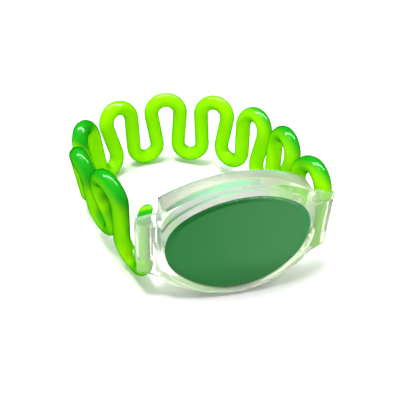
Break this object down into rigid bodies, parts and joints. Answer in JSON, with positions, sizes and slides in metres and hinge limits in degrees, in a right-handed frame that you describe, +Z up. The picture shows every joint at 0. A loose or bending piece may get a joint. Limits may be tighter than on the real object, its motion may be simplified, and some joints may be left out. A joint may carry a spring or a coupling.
{
  "type": "led wristband",
  "caption": "Closed stretchy wristband: an oval frosted housing with a dark green face insert, joined end to end by a lime green serpentine cord strap.",
  "frame": {"origin": "on the floor under the middle of the band's box, as it lies in the picture", "axes": "+Z up, -Y out through the face of the housing, +X to the right of someone who looks at that face"},
  "size_m": [0.0596, 0.0632, 0.0322],
  "materials": {
    "housing": "frosted clear",
    "insert": "glossy",
    "strap": "glossy translucent"
  },
  "bodies": {
    "root": {"housing": "housing", "face_insert": "insert", "wave_strap": "strap"}
  },
  "joints": []
}
